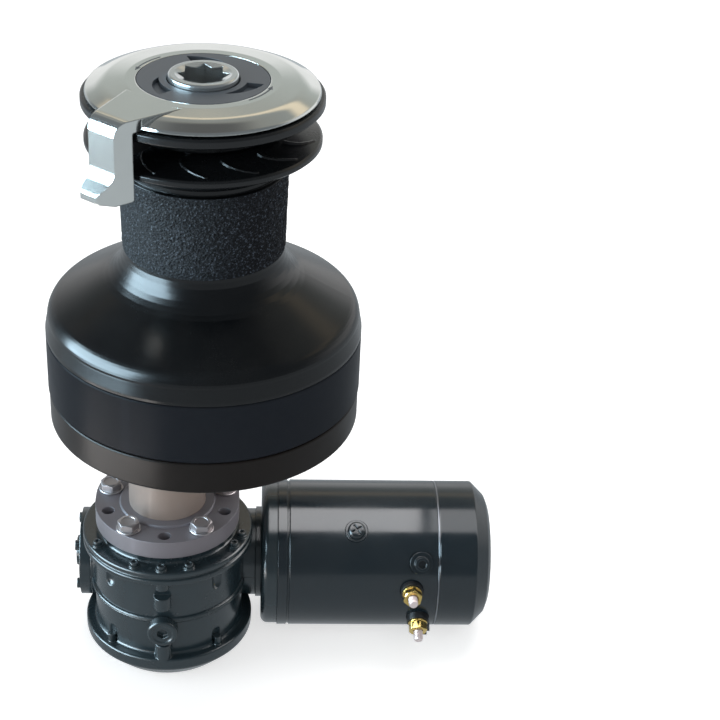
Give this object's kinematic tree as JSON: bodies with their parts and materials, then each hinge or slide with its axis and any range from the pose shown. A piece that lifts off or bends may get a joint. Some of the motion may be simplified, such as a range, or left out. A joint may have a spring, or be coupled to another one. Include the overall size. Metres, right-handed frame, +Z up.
{
  "type": "electric self-tailing winch",
  "caption": "Self-tailing deck winch with a geared drum, sprung rope jaws, feeder arm and handle socket, driven by a worm gearbox and a motor below deck.",
  "frame": {"origin": "centre of the deck bolt circle, on the drum's axis, in the face that lies on the deck", "axes": "+Z up along the drum's axis, +X along the motor towards its end cap, -Y towards the viewer of the picture; everything under z = 0 hangs below the deck"},
  "size_m": [0.2335, 0.157, 0.3314],
  "materials": {
    "bronze": "dark cast bronze, satin",
    "alloy": "machined",
    "black_shell": "black anodised, satin, with a rough grip on the drum",
    "steel": "turned, fine brushed",
    "gear_steel": "hobbed and ground",
    "gear_bronze": "machined bronze",
    "acetal": "plain moulded",
    "jaw_black": "black, half gloss",
    "chrome": "polished ring, satin arm",
    "cap_grey": "dark slate, satin",
    "black_plastic": "black, plain",
    "tube_bronze": "beige bronze, matte",
    "flange_grey": "purplish grey, satin",
    "gear_paint": "very dark teal black, glossy",
    "motor_paint": "black enamel, glossy",
    "magnet": "sintered ferrite, matte",
    "copper": "turned copper",
    "brush_board": "fibre board",
    "carbon": "carbon block, matte",
    "brass": "plain brass"
  },
  "bodies": {
    "deck_unit": {"base_ring": "bronze", "gear_housing": "alloy", "lower_skirt": "black_shell", "housing_screws": "steel", "layshaft_pins": "steel", "spindle_bushes": "gear_bronze", "center_stem": "alloy", "bearing_spacers": "acetal", "feeder_crown": "chrome", "top_cap": "cap_grey", "stripper_ring": "black_plastic", "drive_tube": "tube_bronze", "drive_flange": "flange_grey", "flange_bolts": "steel", "gearbox_upper": "gear_paint", "gearbox_lower": "gear_paint", "oil_plug": "gear_paint", "gearbox_screws": "steel", "worm_end_cap": "gear_paint", "output_bearings": "steel", "motor_bearings": "steel", "motor_front_cap": "gear_paint", "motor_yoke": "motor_paint", "motor_end_cap": "motor_paint", "through_bolts": "steel", "field_magnets": "magnet", "brush_plate": "brush_board", "brushes": "carbon", "terminal_studs": "steel", "terminal_insulators": "black_plastic", "terminal_nuts": "brass", "field_screw": "steel", "yoke_fittings": "black_plastic"},
    "drum_unit": {"drum": "black_shell", "ring_gear": "gear_steel", "jaw_keys": "steel", "upper_jaw": "jaw_black", "jaw_springs": "steel"},
    "sprung_jaw": {"lower_jaw": "jaw_black"},
    "roller_cages": {"roller_bearings": "steel"},
    "spindle": {"main_spindle": "steel", "spindle_gears": "gear_steel"},
    "idler": {"idler_gear": "gear_bronze"},
    "first_layshaft": {"first_gear": "gear_steel", "first_pawl_pins": "steel"},
    "first_pinion_ring": {"first_pinion": "gear_steel"},
    "first_catch_a": {"first_pawl_a": "gear_steel"},
    "first_catch_b": {"first_pawl_b": "gear_steel"},
    "second_gear_ring": {"second_gear": "gear_steel"},
    "second_layshaft": {"second_pinion": "gear_steel", "second_pawl_pins": "steel"},
    "second_catch_a": {"second_pawl_a": "gear_steel"},
    "second_catch_b": {"second_pawl_b": "gear_steel"},
    "output": {"output_shaft": "steel", "drive_pinion": "gear_steel", "worm_wheel": "gear_bronze"},
    "armature": {"armature_shaft": "steel", "worm": "gear_steel", "armature_core": "gear_steel", "commutator": "copper"}
  },
  "joints": [
    {"name": "armature_spin", "type": "hinge", "parent": "deck_unit", "child": "armature", "pos_m": [0.06, 0.02, -0.1076], "axis": [1, 0, 0], "continuous": true},
    {"name": "output_spin", "type": "hinge", "parent": "deck_unit", "child": "output", "pos_m": [-0.02, 0, -0.1076], "axis": [0, 0, 1], "continuous": true},
    {"name": "spindle_spin", "type": "hinge", "parent": "deck_unit", "child": "spindle", "pos_m": [0, 0, 0.037], "axis": [0, 0, 1], "continuous": true},
    {"name": "idler_spin", "type": "hinge", "parent": "deck_unit", "child": "idler", "pos_m": [0.02942, -0.01259, 0.037], "axis": [0, 0, 1], "continuous": true},
    {"name": "first_gear_spin", "type": "hinge", "parent": "deck_unit", "child": "first_layshaft", "pos_m": [0.0331, 0.01416, 0.037], "axis": [0, 0, 1], "continuous": true},
    {"name": "first_pinion_spin", "type": "hinge", "parent": "deck_unit", "child": "first_pinion_ring", "pos_m": [0.0331, 0.01416, 0.056], "axis": [0, 0, 1], "continuous": true},
    {"name": "second_gear_spin", "type": "hinge", "parent": "deck_unit", "child": "second_gear_ring", "pos_m": [-0.043, 0, 0.037], "axis": [0, 0, 1], "continuous": true},
    {"name": "second_pinion_spin", "type": "hinge", "parent": "deck_unit", "child": "second_layshaft", "pos_m": [-0.043, 0, 0.056], "axis": [0, 0, 1], "continuous": true},
    {"name": "drum_spin", "type": "hinge", "parent": "deck_unit", "child": "drum_unit", "pos_m": [0, 0, 0.1], "axis": [0, 0, 1], "continuous": true},
    {"name": "cage_spin", "type": "hinge", "parent": "deck_unit", "child": "roller_cages", "pos_m": [0, 0, 0.118], "axis": [0, 0, 1], "continuous": true},
    {"name": "jaw_slide", "type": "slide", "parent": "drum_unit", "child": "sprung_jaw", "axis": [0, 0, 1], "range_m": [-0.0025, 0], "stiffness_N_per_m": 16000, "springref_m": 0.002, "deforming": ["jaw_springs"]},
    {"name": "first_catch_a_swing", "type": "hinge", "parent": "first_layshaft", "child": "first_catch_a", "pos_m": [0.03395, 0.02131, 0.056], "axis": [0, 0, 1], "range_deg": [-26, 0], "stiffness_Nm_per_rad": 0.004, "springref_deg": 17.19},
    {"name": "first_catch_b_swing", "type": "hinge", "parent": "first_layshaft", "child": "first_catch_b", "pos_m": [0.03224, 0.00701, 0.056], "axis": [0, 0, 1], "range_deg": [-26, 0], "stiffness_Nm_per_rad": 0.004, "springref_deg": 17.19},
    {"name": "second_catch_a_swing", "type": "hinge", "parent": "second_layshaft", "child": "second_catch_a", "pos_m": [-0.03442, 0.0072, 0.036], "axis": [0, 0, 1], "range_deg": [-3, 0]},
    {"name": "second_catch_b_swing", "type": "hinge", "parent": "second_layshaft", "child": "second_catch_b", "pos_m": [-0.05158, -0.0072, 0.036], "axis": [0, 0, 1], "range_deg": [-3, 0]}
  ],
  "couplings": [
    {"joint": "output_spin", "follows": "armature_spin", "ratio": 0.035714},
    {"joint": "drum_spin", "follows": "armature_spin", "ratio": -0.011688},
    {"joint": "spindle_spin", "follows": "armature_spin", "ratio": -0.024436},
    {"joint": "idler_spin", "follows": "armature_spin", "ratio": 0.031418},
    {"joint": "first_gear_spin", "follows": "armature_spin", "ratio": -0.033835},
    {"joint": "first_pinion_spin", "follows": "armature_spin", "ratio": -0.033835},
    {"joint": "second_gear_spin", "follows": "armature_spin", "ratio": 0.017594},
    {"joint": "second_pinion_spin", "follows": "armature_spin", "ratio": -0.053571},
    {"joint": "cage_spin", "follows": "armature_spin", "ratio": -0.0063945}
  ]
}
